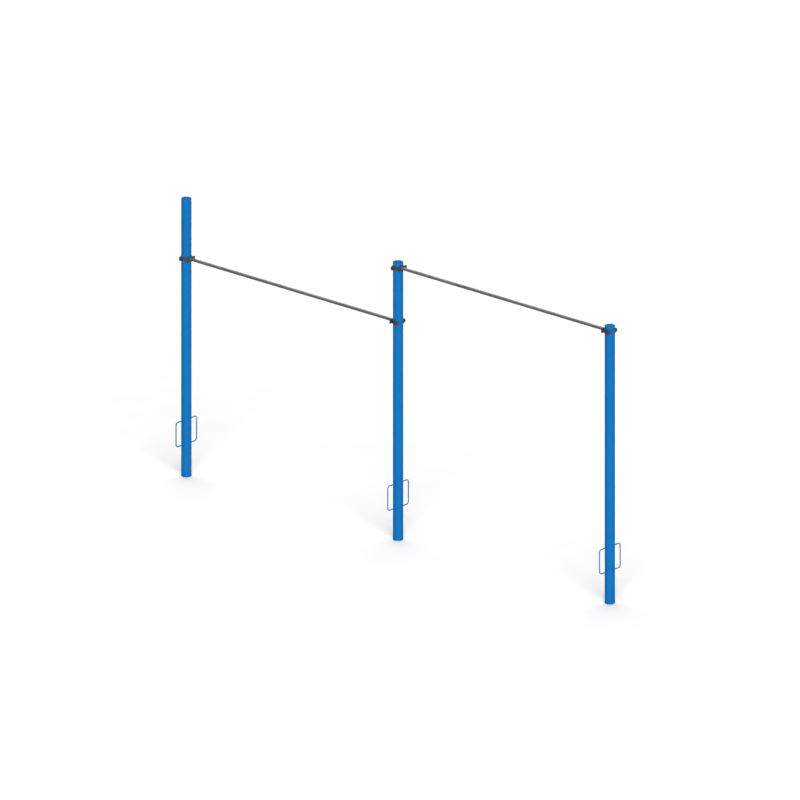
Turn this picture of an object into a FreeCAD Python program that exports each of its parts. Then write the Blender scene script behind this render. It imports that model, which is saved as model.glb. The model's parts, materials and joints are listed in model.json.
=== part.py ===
import FreeCAD, Part
import math
import os
import Sketcher

# Two-height bar station: three round posts in one row, a low bar between the first two and a
# high bar between the last two. Each bar ends in a steel plate welded to a saddle that hugs the
# post. A thin keeper band on the post's far side, with a lug welded to either end, is bolted to
# the saddle and clamps it there. Rod loops welded low on the posts tie them into their footings.
#
# Row frame: origin at the middle post's foot, X along the row towards the high bar, Z up.
# A clamp is drawn around its post's axis with the bar leaving along X; the clamps whose bar
# leaves the other way are the same ones turned half round.

DIMENSIONS = {
    "bay_length": 3000,          # post axis to post axis
    "post_radius": 54,
    "post_wall": 4,
    "post_top": 3070,            # top edge of the tube above the foot
    "foot_thickness": 6,
    "cap_thickness": 5,
    "cap_round": 2.5,
    "spigot_depth": 30,
    "spigot_wall": 3,
    "spigot_play": 0.1,
    "loop_level": 490,           # middle of the anchor loops above the foot
    "loop_half_rise": 135,       # from there to the axis of either arm
    "loop_reach": 160,           # post axis to the axis of the loop's upright
    "loop_bend": 30,
    "loop_rod_radius": 6,
    "low_bar_level": 2413,
    "high_bar_level": 3014,
    "bar_radius": 17,
    "bar_wall": 3.5,
    "band_play": 0.3,            # between the post and the saddle or keeper band
    "band_thickness": 5,         # of the strap that saddle and keeper lugs are bent from
    "band_depth": 45,            # height of saddle and keeper
    "bend_round": 2,             # inside radius where the strap turns out into a lug
    "keeper_thickness": 2,       # of the keeper's band
    "plate_thickness": 6,
    "plate_reach": 64,           # bar axis to either end of the plate
    "plate_depth": 50,           # height of the plate
    "lug_reach": 77.5,           # post axis to the outer edge of the lugs
    "corner_round": 8,
    "lug_setback": 18,           # post axis to the bar side of the saddle's lugs
    "pinch_gap": 2.5,            # left between saddle lug and keeper lug when tightened
    "foot_setback": 46,          # post axis to the end of a keeper lug's curved foot
    "bolt_reach": 69.4,          # post axis to bolt axis
    "bolt_radius": 4,
    "bolt_hole_radius": 4.5,
    "bolt_tail": 3,              # thread standing out of the nut
    "hex_corner_radius": 7.51,   # 13 mm across flats
    "hex_face_radius": 6.2,      # of the round face that the corner chamfer leaves
    "head_height": 5.3,
    "nut_height": 6.8,
    "nut_bore_radius": 4.05,
    "washer_radius": 8,
    "washer_thickness": 1.6,
}

BAND_INNER = "post_radius + band_play"
BAND_OUTER = BAND_INNER + " + band_thickness"
PLATE_FACE = BAND_OUTER + " + plate_thickness"
SADDLE_BACK = "lug_setback + band_thickness"
KEEPER_FRONT = SADDLE_BACK + " + pinch_gap"
KEEPER_BACK = KEEPER_FRONT + " + band_thickness"
FOOT_INNER = BAND_INNER + " + keeper_thickness"
FOOT_OUTER = FOOT_INNER + " + band_thickness"

UP = FreeCAD.Vector(0, 0, 1)
ALONG = FreeCAD.Vector(1, 0, 0)

doc = FreeCAD.newDocument("bar_station")
sheet = doc.addObject("Spreadsheet::Sheet", "dimensions")
for row, (alias, value) in enumerate(DIMENSIONS.items(), start=1):
    sheet.set(f"A{row}", alias)
    sheet.set(f"B{row}", str(value))
    sheet.setAlias(f"B{row}", alias)
doc.recompute()

nodes = []


# ---- formulas, placing and sketching ---------------------------------------------------------

def amount(formula):
    """Work out a sum of named dimensions, for the first drawing of a sketch."""
    total, sign = 0.0, 1
    for word in formula.split():
        if word in ("+", "-"):
            sign = 1 if word == "+" else -1
        else:
            total += sign * float(sheet.get(word))
    return total


def in_cells(formula):
    """The same formula as an expression on the spreadsheet."""
    return " ".join(f"dimensions.{word}" if word in DIMENSIONS else word for word in formula.split())


def bind(item, sizes):
    for name, formula in sizes.items():
        item.setExpression(name, in_cells(formula))
    return item


def place(node, label, x=None, z=None, turned=False, flipped=False):
    """Name a sub-part, stand it in the row frame and list it for export.

    Turned is half round the upright axis, and flipped half round the bar's, before that.
    """
    node.Label = label
    rotation = FreeCAD.Rotation(UP, 180 if turned else 0)
    if flipped:
        rotation = rotation * FreeCAD.Rotation(ALONG, 180)
    node.Placement = FreeCAD.Placement(FreeCAD.Vector(), rotation)
    if x:
        bind(node, {"Placement.Base.x": x})
    if z:
        bind(node, {"Placement.Base.z": z})
    nodes.append(node)


def sketch_on(body, role, name, lift=None):
    """A sketch on one of the body's own origin planes, lifted off it along its normal."""
    sketch = body.newObject("Sketcher::SketchObject", name)
    plane = next(item for item in body.Origin.OriginFeatures if item.Role == role)
    sketch.AttachmentSupport = [(plane, "")]
    sketch.MapMode = "FlatFace"
    if lift:
        bind(sketch, {"AttachmentOffset.Base.z": lift})
    return sketch


def dimension(sketch, kind, where, formula):
    index = sketch.addConstraint(Sketcher.Constraint(kind, *where, amount(formula)))
    bind(sketch, {f"Constraints[{index}]": formula})


def add_circle(sketch, radius, across=None, side=1, up=None):
    """A circle on the sketch's origin, or bound a distance across or up from it."""
    x = side * amount(across) if across else 0
    y = side * amount(up) if up else 0
    circle = sketch.addGeometry(Part.Circle(FreeCAD.Vector(x, y, 0), UP, amount(radius)))
    dimension(sketch, "Radius", (circle,), radius)
    centre, origin = (circle, 3), (-1, 1)
    ends = origin + centre if side > 0 else centre + origin
    if across:
        dimension(sketch, "DistanceX", ends, across)
        sketch.addConstraint(Sketcher.Constraint("PointOnObject", *centre, -1))
    elif up:
        dimension(sketch, "DistanceY", ends, up)
        sketch.addConstraint(Sketcher.Constraint("PointOnObject", *centre, -2))
    else:
        sketch.addConstraint(Sketcher.Constraint("Coincident", *centre, *origin))


def line(x1, y1, x2, y2):
    return Part.LineSegment(FreeCAD.Vector(x1, y1, 0), FreeCAD.Vector(x2, y2, 0))


def arc(x, y, radius, start, end):
    return Part.ArcOfCircle(Part.Circle(FreeCAD.Vector(x, y, 0), UP, radius), start, end)


def heading(curve, end):
    """The direction a curve runs in at its first (1) or last (2) end."""
    return curve.tangent(curve.FirstParameter if end == 1 else curve.LastParameter)[0]


def add_chain(sketch, curves, closed=True):
    """Draw curves end to end, joined smoothly where they are, with level and upright lines kept."""
    sketch.addGeometry(curves)
    count = len(curves)
    for index in range(count if closed else count - 1):
        following = (index + 1) % count
        for end in (1, 2):
            for start in (1, 2):
                gap = sketch.getPoint(index, end) - sketch.getPoint(following, start)
                if gap.Length > 1e-6:
                    continue
                turn = heading(curves[index], end).cross(heading(curves[following], start)).Length
                kind = "Tangent" if turn < 1e-6 else "Coincident"
                sketch.addConstraint(Sketcher.Constraint(kind, index, end, following, start))
    for index, curve in enumerate(curves):
        if isinstance(curve, Part.LineSegment):
            level = abs(curve.StartPoint.y - curve.EndPoint.y) < 1e-6
            sketch.addConstraint(Sketcher.Constraint("Horizontal" if level else "Vertical", index))


def across_from_axis(sketch, curve, formula, side):
    """Bind the first end of a curve to lie so far to one side of the sketch's upright axis."""
    ends = (-1, 1, curve, 1) if side > 0 else (curve, 1, -1, 1)
    dimension(sketch, "DistanceX", ends, formula)


def up_from_axis(sketch, curve, formula, side):
    ends = (-1, 1, curve, 1) if side > 0 else (curve, 1, -1, 1)
    dimension(sketch, "DistanceY", ends, formula)


def new_body(name):
    return doc.addObject("PartDesign::Body", name)


def pad(body, sketch, length, symmetric=False, downward=False):
    feature = body.newObject("PartDesign::Pad", sketch.Name + "_pad")
    feature.Profile = sketch
    feature.SideType = "Symmetric" if symmetric else "One side"
    feature.Reversed = downward
    bind(feature, {"Length": length})
    return feature


def cut_both_ways(body, sketch):
    feature = body.newObject("PartDesign::Pocket", sketch.Name + "_cut")
    feature.Profile = sketch
    feature.Type = "ThroughAll"
    feature.SideType = "Symmetric"
    doc.recompute()
    before = feature.BaseFeature.Shape.Volume
    if not feature.Shape.Volume < before - 1:
        raise RuntimeError(f"{feature.Name} cuts nothing")
    return feature


def fillet(body, base, name, radius, wanted):
    """Round the edges of a feature that pass the test."""
    doc.recompute()
    edges = [f"Edge{index}" for index, edge in enumerate(base.Shape.Edges, start=1) if wanted(edge)]
    feature = body.newObject("PartDesign::Fillet", name)
    feature.Base = (base, edges)
    bind(feature, {"Radius": radius})
    return feature


def upright_at(x, y):
    """Test for an upright edge that stands at x, y or at its mirror image x, -y."""
    def wanted(edge):
        ends = [vertex.Point for vertex in edge.Vertexes]
        return len(ends) == 2 and abs(ends[0].z - ends[1].z) > 1 and all(
            abs(end.x - x) < 1e-3 and abs(abs(end.y) - y) < 1e-3 for end in ends)
    return wanted


def outer_corner(reach, depth):
    """Test for the short edges along X at the outer corners of a plate or lug."""
    end_y, end_z = amount(reach), amount(depth) / 2

    def wanted(edge):
        ends = [vertex.Point for vertex in edge.Vertexes]
        return len(ends) == 2 and abs(ends[0].x - ends[1].x) > 1 and all(
            abs(abs(end.y) - end_y) < 1e-3 and abs(abs(end.z) - end_z) < 1e-3 for end in ends)
    return wanted


# ---- posts -----------------------------------------------------------------------------------

def make_post(name, x):
    body = new_body(name)
    ring = sketch_on(body, "XY_Plane", name + "_ring", lift="foot_thickness")
    add_circle(ring, "post_radius")
    add_circle(ring, "post_radius - post_wall")
    pad(body, ring, "post_top - foot_thickness")
    place(body, name, x)


def make_foot(name, x):
    disc = doc.addObject("Part::Cylinder", name)
    bind(disc, {"Radius": "post_radius", "Height": "foot_thickness"})
    place(disc, name, x)


def make_cap(name, x):
    """A lid as wide as the post with a hollow spigot that goes down inside it."""
    body = new_body(name)
    lid = sketch_on(body, "XY_Plane", name + "_lid")
    add_circle(lid, "post_radius")
    flange = pad(body, lid, "cap_thickness")
    top = amount("cap_thickness")
    rounded = fillet(body, flange, name + "_rim", "cap_round",
                     lambda edge: abs(edge.CenterOfMass.z - top) < 1e-3)
    body.Tip = rounded
    spigot = sketch_on(body, "XY_Plane", name + "_spigot")
    add_circle(spigot, "post_radius - post_wall - spigot_play")
    add_circle(spigot, "post_radius - post_wall - spigot_play - spigot_wall")
    pad(body, spigot, "spigot_depth", downward=True)
    place(body, name, x, z="post_top")


def make_loop(name, x, turned):
    """A rod bent to a U, its arms coped to the post's round side."""
    rise, reach, bend = amount("loop_half_rise"), amount("loop_reach"), amount("loop_bend")
    body = new_body(name)
    rod = sketch_on(body, "XZ_Plane", name + "_rod")
    add_circle(rod, "loop_rod_radius", up="loop_half_rise", side=-1)
    path = sketch_on(body, "YZ_Plane", name + "_path")
    quarter = math.pi / 2
    add_chain(path, [
        line(0, -rise, reach - bend, -rise),
        arc(reach - bend, bend - rise, bend, -quarter, 0),
        line(reach, bend - rise, reach, rise - bend),
        arc(reach - bend, rise - bend, bend, 0, quarter),
        line(reach - bend, rise, 0, rise),
    ], closed=False)
    path.addConstraint(Sketcher.Constraint("PointOnObject", 0, 1, -2))
    path.addConstraint(Sketcher.Constraint("PointOnObject", 4, 2, -2))
    up_from_axis(path, 0, "loop_half_rise", -1)
    up_from_axis(path, 4, "loop_half_rise", 1)
    across_from_axis(path, 2, "loop_reach", 1)
    for bend_arc in (1, 3):
        dimension(path, "Radius", (bend_arc,), "loop_bend")
    pipe = body.newObject("PartDesign::AdditivePipe", name + "_pipe")
    pipe.Profile = rod
    pipe.Spine = (path, [])
    doc.recompute()
    side = sketch_on(body, "XY_Plane", name + "_side")
    add_circle(side, "post_radius")
    cut_both_ways(body, side)
    place(body, name, x, z="loop_level", turned=turned)


# ---- bars and their clamps -------------------------------------------------------------------

def make_bar(name, x, z):
    body = new_body(name)
    ring = sketch_on(body, "YZ_Plane", name + "_ring")
    add_circle(ring, "bar_radius")
    add_circle(ring, "bar_radius - bar_wall")
    pad(body, ring, f"bay_length - 2 * ( {PLATE_FACE} )", symmetric=True)
    place(body, name, x, z)


def make_plate(name, **at):
    """The end plate that the bar is welded to, standing against the saddle's round back."""
    reach, half = amount("plate_reach"), amount("plate_depth") / 2
    body = new_body(name)
    face = sketch_on(body, "YZ_Plane", name + "_face", lift=BAND_OUTER)
    add_chain(face, [
        line(-reach, -half, reach, -half),
        line(reach, -half, reach, half),
        line(reach, half, -reach, half),
        line(-reach, half, -reach, -half),
    ])
    face.addConstraint(Sketcher.Constraint("Symmetric", 0, 1, 1, 2, -1, 1))
    across_from_axis(face, 1, "plate_reach", 1)
    dimension(face, "DistanceY", (1, 1, 1, 2), "plate_depth")
    blank = pad(body, face, "plate_thickness")
    fillet(body, blank, name + "_corners", "corner_round", outer_corner("plate_reach", "plate_depth"))
    place(body, name, **at)


def finish_strap(body, name, outline, hollow_edges, round_edges, sides):
    """Pad a strap's outline, round its bends and corners and drill its lugs."""
    blank = pad(body, outline, "band_depth", symmetric=True)
    inside = fillet(body, blank, name + "_inside_bends", "bend_round", hollow_edges)
    outside = fillet(body, inside, name + "_outside_bends", "bend_round + band_thickness",
                     round_edges)
    corners = fillet(body, outside, name + "_corners", "corner_round",
                     outer_corner("lug_reach", "band_depth"))
    body.Tip = corners
    holes = sketch_on(body, "YZ_Plane", name + "_holes")
    for side in sides:
        add_circle(holes, "bolt_hole_radius", across="bolt_reach", side=side)
    cut_both_ways(body, holes)


def make_saddle(name, **at):
    """A strap round the bar side of the post, with legs past its flanks and lugs turned out."""
    inner, outer, reach = amount(BAND_INNER), amount(BAND_OUTER), amount("lug_reach")
    front, back = -amount("lug_setback"), -amount(SADDLE_BACK)
    quarter = math.pi / 2
    body = new_body(name)
    outline = sketch_on(body, "XY_Plane", name + "_outline")
    add_chain(outline, [
        arc(0, 0, outer, -quarter, quarter),
        line(0, outer, front, outer),
        line(front, outer, front, reach),
        line(front, reach, back, reach),
        line(back, reach, back, inner),
        line(back, inner, 0, inner),
        arc(0, 0, inner, -quarter, quarter),
        line(0, -inner, back, -inner),
        line(back, -inner, back, -reach),
        line(back, -reach, front, -reach),
        line(front, -reach, front, -outer),
        line(front, -outer, 0, -outer),
    ])
    for curve, radius in ((0, BAND_OUTER), (6, BAND_INNER)):
        outline.addConstraint(Sketcher.Constraint("Coincident", curve, 3, -1, 1))
        dimension(outline, "Radius", (curve,), radius)
    for curve in (2, 10):
        across_from_axis(outline, curve, "lug_setback", -1)
    for curve in (4, 8):
        across_from_axis(outline, curve, SADDLE_BACK, -1)
    up_from_axis(outline, 3, "lug_reach", 1)
    up_from_axis(outline, 9, "lug_reach", -1)
    finish_strap(body, name, outline, upright_at(front, outer), upright_at(back, inner), (1, -1))
    place(body, name, **at)


def up_from(x, radius):
    """How far from the bar's plane a circle round the post is, that far along the row."""
    return math.sqrt(radius ** 2 - x ** 2)


def angle_at(x, radius):
    return math.acos(x / radius)


def make_keeper_band(name, **at):
    """The thin band on the post's far side, from one keeper lug to the other."""
    inner, outer, front = amount(BAND_INNER), amount(FOOT_INNER), -amount(KEEPER_FRONT)
    inner_angle, outer_angle = angle_at(front, inner), angle_at(front, outer)
    body = new_body(name)
    outline = sketch_on(body, "XY_Plane", name + "_outline")
    add_chain(outline, [
        arc(0, 0, outer, outer_angle, 2 * math.pi - outer_angle),
        line(front, -up_from(front, outer), front, -up_from(front, inner)),
        arc(0, 0, inner, inner_angle, 2 * math.pi - inner_angle),
        line(front, up_from(front, inner), front, up_from(front, outer)),
    ])
    for curve, radius in ((0, FOOT_INNER), (2, BAND_INNER)):
        outline.addConstraint(Sketcher.Constraint("Coincident", curve, 3, -1, 1))
        dimension(outline, "Radius", (curve,), radius)
    for curve in (1, 3):
        across_from_axis(outline, curve, KEEPER_FRONT, -1)
    pad(body, outline, "band_depth", symmetric=True)
    place(body, name, **at)


def make_keeper_lug(name, **at):
    """A bolt lug with a curved foot that is welded to one end of the keeper band."""
    inner, outer, reach = amount(FOOT_INNER), amount(FOOT_OUTER), amount("lug_reach")
    front, back, end = -amount(KEEPER_FRONT), -amount(KEEPER_BACK), -amount("foot_setback")
    body = new_body(name)
    outline = sketch_on(body, "XY_Plane", name + "_outline")
    add_chain(outline, [
        line(front, reach, back, reach),
        line(back, reach, back, up_from(back, outer)),
        arc(0, 0, outer, angle_at(back, outer), angle_at(end, outer)),
        line(end, up_from(end, outer), end, up_from(end, inner)),
        arc(0, 0, inner, angle_at(front, inner), angle_at(end, inner)),
        line(front, up_from(front, inner), front, reach),
    ])
    for curve, radius in ((2, FOOT_OUTER), (4, FOOT_INNER)):
        outline.addConstraint(Sketcher.Constraint("Coincident", curve, 3, -1, 1))
        dimension(outline, "Radius", (curve,), radius)
    for curve, formula in ((5, KEEPER_FRONT), (1, KEEPER_BACK), (3, "foot_setback")):
        across_from_axis(outline, curve, formula, -1)
    up_from_axis(outline, 0, "lug_reach", 1)
    finish_strap(body, name, outline, upright_at(back, up_from(back, outer)),
                 upright_at(front, up_from(front, inner)), (1,))
    place(body, name, **at)


def lay_along_x(item, x, side):
    """Lay a solid that stands on its base along X, on one of the two bolt axes."""
    item.Placement = FreeCAD.Placement(
        FreeCAD.Vector(), FreeCAD.Rotation(FreeCAD.Vector(0, 1, 0), 90))
    bind(item, {"Placement.Base.x": x, "Placement.Base.y": f"{side} * bolt_reach"})
    return item


def lying_rod(name, x, side, radius, length):
    rod = doc.addObject("Part::Cylinder", name)
    bind(rod, {"Radius": radius, "Height": length})
    return lay_along_x(rod, x, side)


def lying_hexagon(name, x, side, height, outward):
    """A hexagon with its corners chamfered at 30 degrees on the side that faces outward."""
    prism = doc.addObject("Part::Prism", name + "_prism")
    prism.Polygon = 6
    bind(prism, {"Circumradius": "hex_corner_radius", "Height": height})
    lay_along_x(prism, x, side)
    cone = doc.addObject("Part::Cone", name + "_chamfer")
    wide, narrow = ("Radius1", "Radius2") if outward > 0 else ("Radius2", "Radius1")
    bind(cone, {wide: f"hex_face_radius + {height} * tan(60deg)", narrow: "hex_face_radius",
                "Height": height})
    lay_along_x(cone, x, side)
    common = doc.addObject("Part::MultiCommon", name)
    common.Shapes = [prism, cone]
    return common


def group(name, solids, at):
    node = doc.addObject("Part::Compound", name)
    node.Links = solids
    place(node, name, **at)


def make_fasteners(prefix, at):
    """Two bolts through the lugs of saddle and keeper, with their washers and nuts."""
    bolts, nuts, washers = [], [], []
    saddle_seat = "-1 * lug_setback"
    head_seat = f"{saddle_seat} + washer_thickness"
    nut_end = f"{KEEPER_BACK} + washer_thickness + nut_height"
    for side, word in ((1, "left"), (-1, "right")):
        shank = lying_rod(f"{prefix}_shank_{word}", f"-1 * ( {nut_end} + bolt_tail )", side,
                          "bolt_radius", f"{head_seat} + {nut_end} + bolt_tail")
        head = lying_hexagon(f"{prefix}_head_{word}", head_seat, side, "head_height", 1)
        bolt = doc.addObject("Part::MultiFuse", f"{prefix}_bolt_{word}")
        bolt.Shapes = [shank, head]
        bolts.append(bolt)

        blank = lying_hexagon(f"{prefix}_nut_blank_{word}", f"-1 * ( {nut_end} )", side,
                              "nut_height", -1)
        bore = lying_rod(f"{prefix}_nut_bore_{word}", f"-1 * ( {nut_end} )", side,
                         "nut_bore_radius", "nut_height")
        nut = doc.addObject("Part::Cut", f"{prefix}_nut_{word}")
        nut.Base, nut.Tool = blank, bore
        nuts.append(nut)

        for end, seat in (("head", saddle_seat), ("nut", f"-1 * ( {KEEPER_BACK} + washer_thickness )")):
            disc = lying_rod(f"{prefix}_disc_{word}_{end}", seat, side, "washer_radius",
                             "washer_thickness")
            hole = lying_rod(f"{prefix}_eye_{word}_{end}", seat, side, "bolt_hole_radius",
                             "washer_thickness")
            washer = doc.addObject("Part::Cut", f"{prefix}_washer_{word}_{end}")
            washer.Base, washer.Tool = disc, hole
            washers.append(washer)
    group(f"{prefix}_clamp_bolts", bolts, at)
    group(f"{prefix}_clamp_nuts", nuts, at)
    group(f"{prefix}_clamp_washers", washers, at)


def make_clamp(prefix, x, z, turned):
    at = {"x": x, "z": z, "turned": turned}
    make_plate(f"{prefix}_end_plate", **at)
    make_saddle(f"{prefix}_saddle", **at)
    make_keeper_band(f"{prefix}_keeper_band", **at)
    make_keeper_lug(f"{prefix}_left_keeper_lug", **at)
    make_keeper_lug(f"{prefix}_right_keeper_lug", flipped=True, **at)
    make_fasteners(prefix, at)


# ---- the whole station -----------------------------------------------------------------------

for post, post_x in (("low_end", "-1 * bay_length"), ("middle", None), ("high_end", "bay_length")):
    make_post(f"{post}_post", post_x)
    make_foot(f"{post}_foot_plate", post_x)
    make_cap(f"{post}_top_cap", post_x)
    for loop_side, is_turned in (("rear", False), ("front", True)):
        make_loop(f"{post}_{loop_side}_anchor_loop", post_x, is_turned)

for bar, level, middle_x, outer_x, inner_x in (
        ("low_bar", "low_bar_level", "-1 * bay_length / 2", "-1 * bay_length", None),
        ("high_bar", "high_bar_level", "bay_length / 2", "bay_length", None)):
    make_bar(bar, middle_x, level)
    bar_leaves_backward = bar == "high_bar"
    make_clamp(f"{bar}_outer", outer_x, level, bar_leaves_backward)
    make_clamp(f"{bar}_inner", inner_x, level, not bar_leaves_backward)

doc.recompute()

for item in doc.Objects:
    if "Invalid" in item.State or "Error" in item.State:
        raise RuntimeError(f"{item.Label} did not recompute: {item.State}")
for node in nodes:
    if node.Shape.isNull() or not node.Shape.isValid():
        raise RuntimeError(f"{node.Label} has no valid shape")

os.makedirs("parts", exist_ok=True)
for node in nodes:
    node.Shape.exportStep(os.path.join("parts", node.Label + ".step"))
    box = node.Shape.BoundBox
    print(f"{node.Label:32s} solids {len(node.Shape.Solids)}  volume {node.Shape.Volume:12.1f}  "
          f"x {box.XMin:.1f}..{box.XMax:.1f}  y {box.YMin:.1f}..{box.YMax:.1f}  "
          f"z {box.ZMin:.1f}..{box.ZMax:.1f}")
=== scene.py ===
import json
import math
from collections import namedtuple

import bmesh
import bpy
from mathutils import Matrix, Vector


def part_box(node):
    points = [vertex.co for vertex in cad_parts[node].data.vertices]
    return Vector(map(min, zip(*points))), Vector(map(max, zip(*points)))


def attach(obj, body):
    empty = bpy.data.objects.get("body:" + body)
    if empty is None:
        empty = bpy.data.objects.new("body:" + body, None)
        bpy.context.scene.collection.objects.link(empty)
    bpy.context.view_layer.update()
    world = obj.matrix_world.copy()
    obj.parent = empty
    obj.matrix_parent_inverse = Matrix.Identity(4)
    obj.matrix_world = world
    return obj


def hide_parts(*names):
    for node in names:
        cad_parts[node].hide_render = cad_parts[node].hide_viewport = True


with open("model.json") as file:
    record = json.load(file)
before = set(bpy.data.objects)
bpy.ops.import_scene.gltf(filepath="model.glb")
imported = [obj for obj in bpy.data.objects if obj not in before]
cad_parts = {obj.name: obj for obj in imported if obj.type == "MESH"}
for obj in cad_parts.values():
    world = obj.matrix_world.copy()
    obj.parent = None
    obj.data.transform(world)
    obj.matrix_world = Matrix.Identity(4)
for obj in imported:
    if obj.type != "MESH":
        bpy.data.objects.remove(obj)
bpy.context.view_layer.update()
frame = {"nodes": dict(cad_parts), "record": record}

# A two-height bar station: blue powder-coated posts, grey steel bars, dark clamps.
# The CAD parts keep their shape. This script gives them their finish and adds what a welder and
# a bolt maker leave on them: weld beads, and bolts with real threads in place of plain rods.
# Lengths are in metres, in the row frame.

VIEW_AZIMUTH = math.radians(42.4)
VIEW_ELEVATION = math.radians(19.2)
VIEW_WIDTH = 8.37            # what the camera takes in from side to side
VIEW_CENTRE_RIGHT = 0.020    # from the middle post's foot to the middle of the view
VIEW_CENTRE_UP = 1.457
CAMERA_DISTANCE = 24.0
CAMERA_REACH = 200.0

WORLD_STRENGTH = 0.09
SMOOTH_BELOW = math.radians(32)    # added pieces keep edges sharper than this as edges

POSTS = ("low_end", "middle", "high_end")
CLAMPS = {
    "low_bar_outer": ("low_bar", "low_end"),
    "low_bar_inner": ("low_bar", "middle"),
    "high_bar_outer": ("high_bar", "high_end"),
    "high_bar_inner": ("high_bar", "middle"),
}


# ---- materials -------------------------------------------------------------------------------

# How far a softened normal leans from the true one, as their dot product, on a plain face and on
# a sharp edge.
EDGE_DOT_FACE = 0.985
EDGE_DOT_SHARP = 0.86

PaintColours = namedtuple("PaintColours", "light dark worn")

BLUE = PaintColours(light=(0.0004, 0.105, 0.312, 1), dark=(0.0003, 0.096, 0.290, 1),
                    worn=(0.012, 0.160, 0.375, 1))
ANTHRACITE = PaintColours(light=(0.042, 0.042, 0.044, 1), dark=(0.033, 0.033, 0.035, 1),
                          worn=(0.120, 0.120, 0.122, 1))


class Finish:
    """A node material under construction: a Principled shader with textures in object space."""

    def __init__(self, name):
        self.material = bpy.data.materials.new(name)
        self.material.use_nodes = True
        self.tree = self.material.node_tree
        self.shader = self.tree.nodes["Principled BSDF"]
        self.place = self.add("ShaderNodeTexCoord").outputs["Object"]

    def add(self, kind, **settings):
        node = self.tree.nodes.new(kind)
        for key, value in settings.items():
            setattr(node, key, value)
        return node

    def feed(self, socket, value):
        """Link a socket to another node's output, or set it to a constant."""
        if isinstance(value, bpy.types.NodeSocket):
            self.tree.links.new(value, socket)
        else:
            socket.default_value = value

    def stretch(self, x, y, z):
        node = self.add("ShaderNodeMapping")
        self.feed(node.inputs["Vector"], self.place)
        node.inputs["Scale"].default_value = (x, y, z)
        return node.outputs["Vector"]

    def noise(self, scale, detail=2.0, vector=None, roughness=0.5):
        node = self.add("ShaderNodeTexNoise")
        self.feed(node.inputs["Vector"], vector or self.place)
        node.inputs["Scale"].default_value = scale
        node.inputs["Detail"].default_value = detail
        node.inputs["Roughness"].default_value = roughness
        return node.outputs["Fac"]

    def remap(self, value, low, high, to_low=0.0, to_high=1.0):
        node = self.add("ShaderNodeMapRange")
        self.feed(node.inputs["Value"], value)
        for name, number in (("From Min", low), ("From Max", high),
                             ("To Min", to_low), ("To Max", to_high)):
            node.inputs[name].default_value = number
        return node.outputs["Result"]

    def math(self, operation, first, second):
        node = self.add("ShaderNodeMath", operation=operation)
        self.feed(node.inputs[0], first)
        self.feed(node.inputs[1], second)
        return node.outputs["Value"]

    def blend(self, factor, first, second):
        node = self.add("ShaderNodeMix", data_type="RGBA")
        self.feed(node.inputs["Factor"], factor)
        self.feed(node.inputs["A"], first)
        self.feed(node.inputs["B"], second)
        return node.outputs["Result"]

    def mark(self, tone, mask, amount, colour):
        """Lay a colour over a tone where the mask is, as strongly as the amount."""
        return self.blend(self.math("MULTIPLY", mask, amount), tone, colour)

    def rounded(self, radius):
        """The surface normal with sharp edges softened over a small radius."""
        node = self.add("ShaderNodeBevel", samples=4)
        node.inputs["Radius"].default_value = radius
        return node.outputs["Normal"]

    def edges(self, rounded_normal):
        """1 on sharp edges, 0 away from them."""
        geometry = self.add("ShaderNodeNewGeometry")
        dot = self.add("ShaderNodeVectorMath", operation="DOT_PRODUCT")
        self.feed(dot.inputs[0], geometry.outputs["Normal"])
        self.feed(dot.inputs[1], rounded_normal)
        return self.remap(dot.outputs["Value"], low=EDGE_DOT_FACE, high=EDGE_DOT_SHARP)

    def bump(self, height, strength, distance, normal=None):
        node = self.add("ShaderNodeBump")
        node.inputs["Strength"].default_value = strength
        node.inputs["Distance"].default_value = distance
        self.feed(node.inputs["Height"], height)
        if normal is not None:
            self.feed(node.inputs["Normal"], normal)
        return node.outputs["Normal"]

    def finish(self, colour, roughness, metallic, normal, specular=0.5):
        self.feed(self.shader.inputs["Base Color"], colour)
        self.feed(self.shader.inputs["Roughness"], roughness)
        self.feed(self.shader.inputs["Metallic"], metallic)
        self.feed(self.shader.inputs["Normal"], normal)
        self.shader.inputs["Specular IOR Level"].default_value = specular
        return self.material


def powder_coat(name, colours, gloss, peel_scale, edge_wear, specular):
    """Baked-on powder paint: orange peel, uneven gloss, handling scuffs and thin paint on edges."""
    coat = Finish(name)
    rounded = coat.rounded(radius=0.0009)
    cloud = coat.remap(coat.noise(scale=2.2, detail=4.0, roughness=0.6), low=0.35, high=0.65)
    fleck = coat.remap(coat.noise(scale=1100.0), low=0.42, high=0.70)
    tone = coat.blend(cloud, colours.dark, colours.light)
    tone = coat.mark(tone, fleck, 0.30, colours.worn)

    streak = coat.noise(scale=1.0, detail=3.0, vector=coat.stretch(260.0, 260.0, 9.0),
                        roughness=0.7)
    patch = coat.remap(coat.noise(scale=3.4, detail=3.0), low=0.52, high=0.68)
    scuff = coat.math("MULTIPLY", coat.remap(streak, low=0.60, high=0.72), patch)
    tone = coat.mark(tone, scuff, 0.60, colours.worn)

    broken = coat.remap(coat.noise(scale=420.0, detail=3.0), low=0.40, high=0.62)
    bare = coat.math("MULTIPLY", coat.edges(rounded), broken)
    tone = coat.mark(tone, bare, edge_wear, colours.worn)

    sheen = coat.remap(coat.noise(scale=38.0, detail=3.0), low=0.3, high=0.7,
                       to_low=gloss - 0.05, to_high=gloss + 0.06)
    sheen = coat.math("ADD", sheen, coat.math("MULTIPLY", scuff, 0.14))
    peel = coat.noise(scale=peel_scale, detail=3.0, roughness=0.55)
    normal = coat.bump(peel, strength=0.55, distance=0.0005, normal=rounded)
    return coat.finish(tone, sheen, metallic=0.0, normal=normal, specular=specular)


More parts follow.
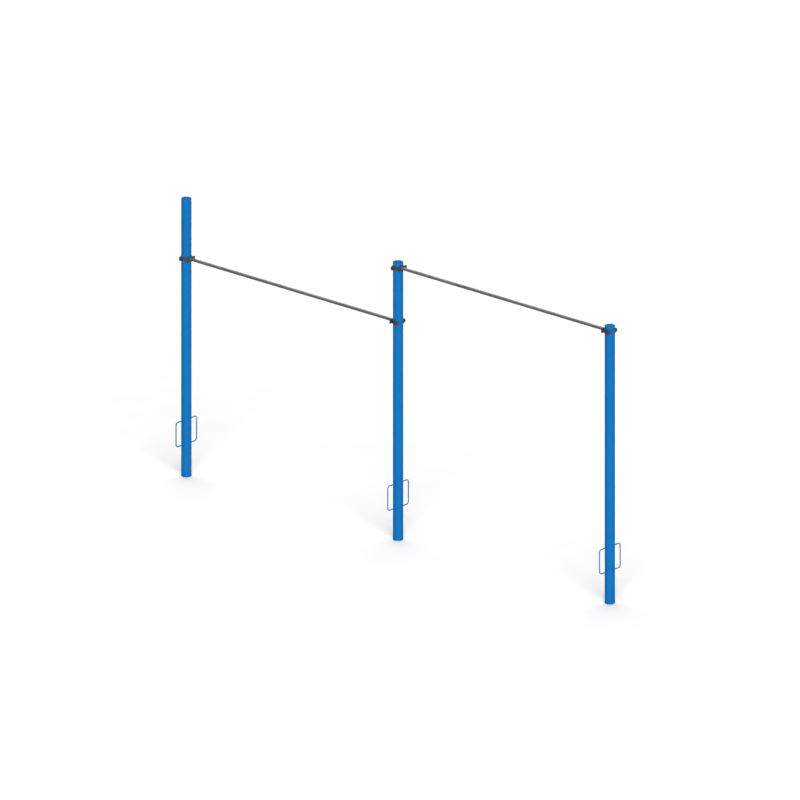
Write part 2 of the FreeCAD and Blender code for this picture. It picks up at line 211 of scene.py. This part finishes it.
def drawn_steel(name):
    """The bars: polished steel, with fine lines along and round it, brighter where hands grip."""
    dull, clean = (0.150, 0.152, 0.156, 1), (0.262, 0.264, 0.268, 1)
    polished, pitted = (0.330, 0.330, 0.328, 1), (0.070, 0.068, 0.066, 1)
    steel = Finish(name)
    draw = steel.noise(scale=1.0, detail=3.0, vector=steel.stretch(5.0, 900.0, 900.0),
                       roughness=0.6)
    turn = steel.noise(scale=1.0, detail=4.0, vector=steel.stretch(700.0, 12.0, 12.0),
                       roughness=0.65)
    grip = steel.remap(steel.noise(scale=1.0, vector=steel.stretch(2.4, 4.0, 4.0)),
                       low=0.40, high=0.64)
    height = steel.math("ADD", draw, turn)
    tone = steel.blend(steel.remap(height, low=0.78, high=1.22), dull, clean)
    tone = steel.mark(tone, grip, 0.45, polished)
    speck = steel.remap(steel.noise(scale=520.0, detail=3.0), low=0.66, high=0.74)
    tone = steel.mark(tone, speck, 0.5, pitted)
    roughness = steel.remap(turn, low=0.3, high=0.7, to_low=0.34, to_high=0.52)
    roughness = steel.math("SUBTRACT", roughness, steel.math("MULTIPLY", grip, 0.06))
    normal = steel.bump(height, strength=0.25, distance=0.00012)
    return steel.finish(tone, roughness, metallic=0.72, normal=normal)


def dark_zinc(name):
    """Bolts, nuts and washers: dark zinc flake on steel, rubbed brighter on its edges."""
    dark, grey, bright = (0.050, 0.051, 0.054, 1), (0.105, 0.106, 0.110, 1), (0.30, 0.30, 0.31, 1)
    zinc = Finish(name)
    rounded = zinc.rounded(radius=0.0004)
    cloud = zinc.remap(zinc.noise(scale=160.0, detail=4.0, roughness=0.6), low=0.3, high=0.7)
    tone = zinc.blend(cloud, dark, grey)
    broken = zinc.remap(zinc.noise(scale=700.0, detail=3.0), low=0.3, high=0.7)
    rubbed = zinc.math("MULTIPLY", zinc.edges(rounded), broken)
    tone = zinc.mark(tone, rubbed, 0.7, bright)
    roughness = zinc.remap(cloud, low=0.0, high=1.0, to_low=0.36, to_high=0.54)
    normal = zinc.bump(zinc.noise(scale=2600.0), strength=0.18, distance=0.0001, normal=rounded)
    return zinc.finish(tone, roughness, metallic=0.85, normal=normal)


def moulded_cap(name):
    """The post caps: blue polyethylene with a fine spark-eroded grain and slight bloom."""
    deep, bloomed = (0.0008, 0.124, 0.366, 1), (0.0016, 0.136, 0.392, 1)
    pale = (0.008, 0.180, 0.470, 1)
    cap = Finish(name)
    rounded = cap.rounded(radius=0.0008)
    bloom = cap.remap(cap.noise(scale=14.0, detail=4.0, roughness=0.6), low=0.4, high=0.7)
    speck = cap.remap(cap.noise(scale=240.0, detail=3.0), low=0.62, high=0.72)
    tone = cap.mark(cap.blend(bloom, deep, bloomed), speck, 0.25, pale)
    grain = cap.noise(scale=1900.0, detail=3.0, roughness=0.6)
    roughness = cap.remap(bloom, low=0.0, high=1.0, to_low=0.46, to_high=0.60)
    normal = cap.bump(grain, strength=0.30, distance=0.00015, normal=rounded)
    return cap.finish(tone, roughness, metallic=0.0, normal=normal, specular=0.02)


FINISHES = {
    "post_paint": powder_coat("blue_powder_coat", BLUE, gloss=0.38, peel_scale=300.0,
                              edge_wear=0.55, specular=0.06),
    "clamp_paint": powder_coat("anthracite_powder_coat", ANTHRACITE, gloss=0.42, peel_scale=480.0,
                               edge_wear=0.75, specular=0.25),
    "bar_steel": drawn_steel("drawn_bar_steel"),
    "fastener_steel": dark_zinc("dark_zinc_flake"),
    "cap_plastic": moulded_cap("blue_cap_polyethylene"),
}


def dress_cad_parts():
    for entry in frame["record"]["subparts"]:
        part = frame["nodes"][entry["node"]]
        part.data.materials.clear()
        part.data.materials.append(FINISHES[entry["material_slot"]])


# ---- meshes ----------------------------------------------------------------------------------

def add_piece(name, verts, faces, slot, body, replaces=()):
    """Make a mesh piece, smooth but for its sharp edges, and let it ride."""
    mesh = bpy.data.meshes.new(name)
    build = bmesh.new()
    points = [build.verts.new(vert) for vert in verts]
    for face in faces:
        build.faces.new([points[index] for index in face])
    bmesh.ops.recalc_face_normals(build, faces=build.faces)
    for face in build.faces:
        face.smooth = True
    for edge in build.edges:
        edge.smooth = edge.calc_face_angle(0.0) < SMOOTH_BELOW
    build.to_mesh(mesh)
    build.free()
    piece = bpy.data.objects.new(name, mesh)
    bpy.context.scene.collection.objects.link(piece)
    mesh.materials.append(FINISHES[slot])
    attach(piece, body)
    if replaces:
        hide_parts(*replaces)
    return piece


def skin_rings(rings, closed):
    """Vertices and faces of a tube through equal rings, closed on itself or ended flat."""
    count = len(rings[0])
    verts = [point for ring in rings for point in ring]
    faces = []
    spans = len(rings) if closed else len(rings) - 1
    for row in range(spans):
        here, there = row * count, (row + 1) % len(rings) * count
        for column in range(count):
            across = (column + 1) % count
            faces.append((here + column, here + across, there + across, there + column))
    if not closed:
        faces.append(tuple(range(count)))
        faces.append(tuple(range(len(verts) - count, len(verts))))
    return verts, faces


def join_shells(shells):
    """Several shells as the vertices and faces of one mesh."""
    verts, faces = [], []
    for shell_verts, shell_faces in shells:
        start = len(verts)
        verts += shell_verts
        faces += [tuple(start + index for index in face) for face in shell_faces]
    return verts, faces


# ---- weld beads ------------------------------------------------------------------------------

Weld = namedtuple("Weld", "radius ripple")      # the bead's radius and one ripple's length

LOOP_WELD = Weld(radius=0.0030, ripple=0.0030)
FOOT_WELD = Weld(radius=0.0020, ripple=0.0036)
BAR_WELD = Weld(radius=0.0036, ripple=0.0034)
SADDLE_WELD = Weld(radius=0.0030, ripple=0.0032)
KEEPER_WELD = Weld(radius=0.0024, ripple=0.0030)

LOOP_RING_GROWTH = 0.0012     # how much wider than the rod its ring of weld is laid
FOOT_RING_INSET = 0.0008
BAR_RING_GROWTH = 0.0010
BAR_RING_RISE = 0.0006        # above the end plate's face
SADDLE_SEAM_Y = 0.0165        # where the flat plate parts from the round saddle
SADDLE_SEAM_RISE = 0.0022
SADDLE_SEAM_END = 0.0028      # left bare at each end of a seam
KEEPER_SEAM_END = 0.0024

BEAD_SIDES = 10
SAMPLES_PER_RIPPLE = 6
FEWEST_RIPPLES = 4
RIPPLE_VALLEY = 0.86          # a ripple's lowest radius, as a share of the bead's
RIPPLE_POWER = 0.6            # below 1 gives round crests and narrow valleys
BEAD_END = 0.12               # how full an open bead starts and ends
WANDER_SHARE = 0.06
WANDER_TURN = 0.37            # radians a step


def bead(route, length, weld, closed, outward):
    """A weld bead laid along a route.

    route(share) gives the bead's middle for a share 0 to 1 of its length, and outward(point)
    a direction away from the joint. The torch leaves one low ripple for each puddle.
    """
    ripples = max(FEWEST_RIPPLES, round(length / weld.ripple))
    steps = ripples * SAMPLES_PER_RIPPLE
    count = steps if closed else steps + 1
    points = [route(step / steps) for step in range(count)]
    rings = []
    for step, point in enumerate(points):
        ahead = points[(step + 1) % count] if closed or step + 1 < count else point
        behind = points[step - 1] if closed or step else point
        along = (ahead - behind).normalized()
        out = outward(point)
        out = (out - along * out.dot(along)).normalized()
        side = along.cross(out)
        phase = (step / SAMPLES_PER_RIPPLE) % 1.0
        crest = math.sin(math.pi * phase) ** RIPPLE_POWER
        swell = weld.radius * (RIPPLE_VALLEY + (1 - RIPPLE_VALLEY) * crest)
        if not closed:
            end = min(step, steps - step) / SAMPLES_PER_RIPPLE
            swell *= math.sqrt(min(1.0, BEAD_END + end))
        wander = WANDER_SHARE * weld.radius * math.sin(step * WANDER_TURN)
        ring = []
        for index in range(BEAD_SIDES):
            angle = 2 * math.pi * index / BEAD_SIDES
            ring.append(point + side * (swell * math.cos(angle) + wander)
                        + out * swell * math.sin(angle))
        rings.append(ring)
    return skin_rings(rings, closed)


def weld_loops(post):
    """Rings of weld where the arms of both anchor loops meet the post's round side."""
    low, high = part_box(f"{post}_post")
    axis_x, radius = (low.x + high.x) / 2, (high.y - low.y) / 2
    for word, sign in (("rear", 1), ("front", -1)):
        loop_low, loop_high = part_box(f"{post}_{word}_anchor_loop")
        rod = (loop_high.x - loop_low.x) / 2
        ring_radius = rod + LOOP_RING_GROWTH
        shells = []
        for arm_z in (loop_low.z + rod, loop_high.z - rod):
            def route(share, arm_z=arm_z):
                angle = 2 * math.pi * share
                x = ring_radius * math.cos(angle)
                y = sign * math.sqrt(radius ** 2 - x ** 2)
                return Vector((axis_x + x, y, arm_z + ring_radius * math.sin(angle)))

            def outward(point, arm_z=arm_z):
                return Vector((point.x - axis_x, 0, point.z - arm_z))

            shells.append(bead(route, 2 * math.pi * ring_radius, LOOP_WELD, True, outward))
        add_piece(f"{post}_{word}_loop_welds", *join_shells(shells), "post_paint", "posts")


def weld_foot(post):
    """The ring of weld between the tube and its foot plate."""
    low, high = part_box(f"{post}_foot_plate")
    centre = (low + high) / 2
    radius = (high.y - low.y) / 2 - FOOT_RING_INSET

    def route(share):
        angle = 2 * math.pi * share
        return Vector((centre.x + radius * math.cos(angle), radius * math.sin(angle), high.z))

    def outward(point):
        return Vector((point.x - centre.x, point.y, 0))

    add_piece(f"{post}_foot_weld", *bead(route, 2 * math.pi * radius, FOOT_WELD, True, outward),
              "post_paint", "posts")


def weld_clamp(clamp, bar):
    """The bar's ring of weld on its end plate, and the plate's two seams down the saddle."""
    plate_low, plate_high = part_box(f"{clamp}_end_plate")
    bar_low, bar_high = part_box(bar)
    saddle_low, saddle_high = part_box(f"{clamp}_saddle")
    level = (bar_low.z + bar_high.z) / 2
    bar_radius = (bar_high.z - bar_low.z) / 2
    plate_x, saddle_x = (plate_low.x + plate_high.x) / 2, (saddle_low.x + saddle_high.x) / 2
    sign = 1 if plate_x > saddle_x else -1
    bar_face = plate_high.x if sign > 0 else plate_low.x
    saddle_face = plate_low.x if sign > 0 else plate_high.x
    ring_radius = bar_radius + BAR_RING_GROWTH

    def ring(share):
        angle = 2 * math.pi * share
        return Vector((bar_face + sign * BAR_RING_RISE, ring_radius * math.cos(angle),
                       level + ring_radius * math.sin(angle)))

    def from_bar(point):
        return Vector((0, point.y, point.z - level))

    shells = [bead(ring, 2 * math.pi * ring_radius, BAR_WELD, True, from_bar)]
    half = (saddle_high.z - saddle_low.z) / 2 - SADDLE_SEAM_END
    for side in (1, -1):
        def seam(share, side=side):
            return Vector((saddle_face - sign * SADDLE_SEAM_RISE, side * SADDLE_SEAM_Y,
                           level + half * (2 * share - 1)))

        def from_seam(point, side=side):
            return Vector((-sign, side, 0))

        shells.append(bead(seam, 2 * half, SADDLE_WELD, False, from_seam))
    add_piece(f"{clamp}_welds", *join_shells(shells), "clamp_paint", bar)


def weld_keeper(clamp, bar, post):
    """A seam where each keeper lug's foot ends on the keeper band."""
    post_low, post_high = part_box(f"{post}_post")
    axis_x = (post_low.x + post_high.x) / 2
    band_low, band_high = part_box(f"{clamp}_keeper_band")
    far_x = max(band_low.x, band_high.x, key=lambda x: abs(x - axis_x))
    band_radius = abs(far_x - axis_x)
    level = (band_low.z + band_high.z) / 2
    half = (band_high.z - band_low.z) / 2 - KEEPER_SEAM_END
    shells = []
    for word in ("left", "right"):
        lug_low, lug_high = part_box(f"{clamp}_{word}_keeper_lug")
        foot_x = max(lug_low.x, lug_high.x, key=lambda x: abs(x - axis_x)) - axis_x
        side = math.copysign(1, lug_low.y + lug_high.y)
        foot_y = side * math.sqrt(band_radius ** 2 - foot_x ** 2)

        def seam(share, foot_x=foot_x, foot_y=foot_y):
            return Vector((axis_x + foot_x, foot_y, level + half * (2 * share - 1)))

        def outward(point, foot_x=foot_x, foot_y=foot_y):
            return Vector((foot_x, foot_y, 0))

        shells.append(bead(seam, 2 * half, KEEPER_WELD, False, outward))
    add_piece(f"{clamp}_keeper_welds", *join_shells(shells), "clamp_paint", bar)


# ---- bolts -----------------------------------------------------------------------------------

BOLT_SIDES = 72
BOLT_RADIUS = 0.00395
THREAD_PITCH = 0.00125
THREAD_DEPTH = 0.0006
THREAD_LENGTH = 0.0175
LEVELS_PER_PITCH = 6
THREAD_START_TURNS = 0.9      # turns over which the thread grows to full depth
PLAIN_LEVELS = 2              # between the last turn and the plain shank
POINT_SHARE = 0.55            # of the bolt's radius: the middle of its flat end

HEAD_FACE_SHARE = 0.95        # of half the width over flats: the head's flat face
HEAD_CHAMFER_SLOPE = math.tan(math.radians(60))
HEAD_CHAMFER_DROPS = (0.0008, 0.0006, 0.0004, 0.0002, 0.0)
HEAD_DISH_RIM = 0.72          # of the face: the shallow dish in the head
HEAD_DISH_FLOOR = 0.66
HEAD_DISH_DEPTH = 0.0003


def hexagon_radius(angle, half_flats):
    """How far a hexagon's side is from its middle, with a flat facing angle 0."""
    sixth = math.pi / 3
    return half_flats / math.cos((angle + sixth / 2) % sixth - sixth / 2)


def bolt_rings(tail, seat, top, radius, half_flats):
    """(place along the bolt, radius for an angle) from the thread's end to the head's face."""
    rings = [(tail, lambda angle: radius * POINT_SHARE),
             (tail, lambda angle: radius - THREAD_DEPTH)]
    levels = round(THREAD_LENGTH / THREAD_PITCH * LEVELS_PER_PITCH)
    for level in range(1, levels + 1):
        turns = level / LEVELS_PER_PITCH

        def thread(angle, turns=turns):
            phase = (turns - angle / (2 * math.pi)) % 1.0
            depth = THREAD_DEPTH * abs(2 * phase - 1)
            start = min(1.0, turns / THREAD_START_TURNS)
            return min(radius - depth, radius - THREAD_DEPTH * (1 - start))

        rings.append((tail + turns * THREAD_PITCH, thread))
    shank = tail + (levels + PLAIN_LEVELS) * THREAD_PITCH / LEVELS_PER_PITCH
    rings += [(shank, lambda angle: radius), (seat, lambda angle: radius)]
    face_radius = half_flats * HEAD_FACE_SHARE
    rings.append((seat, lambda angle: hexagon_radius(angle, half_flats)))
    for drop in HEAD_CHAMFER_DROPS:
        def chamfer(angle, drop=drop):
            return min(hexagon_radius(angle, half_flats), face_radius + drop * HEAD_CHAMFER_SLOPE)

        rings.append((top - drop, chamfer))
    rings.append((top, lambda angle: face_radius * HEAD_DISH_RIM))
    rings.append((top - HEAD_DISH_DEPTH, lambda angle: face_radius * HEAD_DISH_FLOOR))
    return rings


def make_bolts(clamp, bar, post):
    """Both bolts of a clamp with hexagon heads and cut threads, in place of the plain CAD ones."""
    post_low, post_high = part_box(f"{post}_post")
    low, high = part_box(f"{clamp}_clamp_bolts")
    washer_low, washer_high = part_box(f"{clamp}_clamp_washers")
    nut_low, nut_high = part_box(f"{clamp}_clamp_nuts")
    plate_low, plate_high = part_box(f"{clamp}_end_plate")
    axis_x = (post_low.x + post_high.x) / 2
    sign = 1 if plate_low.x + plate_high.x > 2 * axis_x else -1
    tail, seat, top = ((low.x, washer_high.x, high.x) if sign > 0
                       else (high.x, washer_low.x, low.x))
    half_flats = (nut_high.z - nut_low.z) / 2 * math.cos(math.pi / 6)
    reach = high.y - half_flats
    level = (low.z + high.z) / 2
    shells = []
    for side in (1, -1):
        rings = []
        for along, radius_at in bolt_rings(0.0, abs(seat - tail), abs(top - tail), BOLT_RADIUS,
                                           half_flats):
            ring = []
            for index in range(BOLT_SIDES):
                angle = 2 * math.pi * index / BOLT_SIDES
                radius = radius_at(angle)
                ring.append(Vector((tail + sign * along,
                                    side * reach + radius * math.cos(angle),
                                    level + radius * math.sin(angle))))
            rings.append(ring)
        shells.append(skin_rings(rings, False))
    add_piece(f"{clamp}_threaded_bolts", *join_shells(shells), "fastener_steel", bar,
              replaces=(f"{clamp}_clamp_bolts",))


# ---- stage -----------------------------------------------------------------------------------

FLOOR_HALF = 300.0           # reaches past the view even when the camera looks almost level
UNDERFLOOR_DROP = 2.5


def stage_sheet(name, level, material):
    """A wide level sheet that leaves no glare on the paint."""
    half = FLOOR_HALF
    mesh = bpy.data.meshes.new(name)
    mesh.from_pydata([(-half, -half, level), (half, -half, level), (half, half, level),
                      (-half, half, level)], [], [(0, 1, 2, 3)])
    mesh.materials.append(material)
    sheet = bpy.data.objects.new(name, mesh)
    bpy.context.scene.collection.objects.link(sheet)
    sheet.visible_glossy = False
    return sheet


def make_stage():
    """A plain pale floor, and a white sheet under it for where a level view starts below it."""
    pale = Finish("pale_floor")
    grain = pale.noise(scale=3.0, detail=3.0)
    tone = pale.blend(grain, (0.86, 0.86, 0.86, 1), (0.90, 0.90, 0.90, 1))
    normal = pale.bump(grain, strength=0.02, distance=0.001)
    matt = pale.finish(tone, roughness=0.9, metallic=0.0, normal=normal)
    stage_sheet("floor", level=0.0, material=matt)

    white = Finish("underfloor_white")
    white.shader.inputs["Base Color"].default_value = (0, 0, 0, 1)
    white.shader.inputs["Emission Color"].default_value = (1, 1, 1, 1)
    white.shader.inputs["Emission Strength"].default_value = 1.0
    underfloor = stage_sheet("underfloor", level=-UNDERFLOOR_DROP, material=white.material)
    underfloor.visible_diffuse = False


def make_light(name, azimuth, elevation, spread, strength):
    """A wide soft light from far off, as bright on one post as on the next. Angles in degrees."""
    a, e = math.radians(azimuth), math.radians(elevation)
    toward = Vector((math.sin(a) * math.cos(e), -math.cos(a) * math.cos(e), math.sin(e)))
    data = bpy.data.lights.new(name, "SUN")
    data.angle = math.radians(spread)
    data.energy = strength
    lamp = bpy.data.objects.new(name, data)
    lamp.location = toward * CAMERA_DISTANCE
    lamp.rotation_mode = "QUATERNION"
    lamp.rotation_quaternion = (-toward).to_track_quat("-Z", "Y")
    bpy.context.scene.collection.objects.link(lamp)


def make_lighting():
    world = bpy.data.worlds.new("studio")
    world.use_nodes = True
    background = world.node_tree.nodes["Background"]
    background.inputs["Color"].default_value = (1, 1, 1, 1)
    background.inputs["Strength"].default_value = WORLD_STRENGTH
    bpy.context.scene.world = world
    bpy.context.scene.view_settings.view_transform = "Standard"
    make_light("key", azimuth=48, elevation=24, spread=50, strength=4.5)
    make_light("back", azimuth=225, elevation=55, spread=70, strength=1.9)


def make_camera():
    data = bpy.data.cameras.new("camera")
    data.type = "ORTHO"
    data.ortho_scale = VIEW_WIDTH
    data.clip_end = CAMERA_REACH
    camera = bpy.data.objects.new("camera", data)
    a, e = VIEW_AZIMUTH, VIEW_ELEVATION
    right = Vector((math.cos(a), math.sin(a), 0))
    back = Vector((math.sin(a) * math.cos(e), -math.cos(a) * math.cos(e), math.sin(e)))
    up = back.cross(right)
    low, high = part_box("middle_post")
    foot = Vector(((low.x + high.x) / 2, (low.y + high.y) / 2, 0))
    target = foot + right * VIEW_CENTRE_RIGHT + up * VIEW_CENTRE_UP
    camera.location = target + back * CAMERA_DISTANCE
    camera.rotation_mode = "QUATERNION"
    camera.rotation_quaternion = (-back).to_track_quat("-Z", "Y")
    bpy.context.scene.collection.objects.link(camera)
    bpy.context.scene.camera = camera


make_camera()
dress_cad_parts()
for post_name in POSTS:
    weld_loops(post_name)
    weld_foot(post_name)
for clamp_name, (bar_name, post_name) in CLAMPS.items():
    weld_clamp(clamp_name, bar_name)
    weld_keeper(clamp_name, bar_name, post_name)
    make_bolts(clamp_name, bar_name, post_name)
make_stage()
make_lighting()
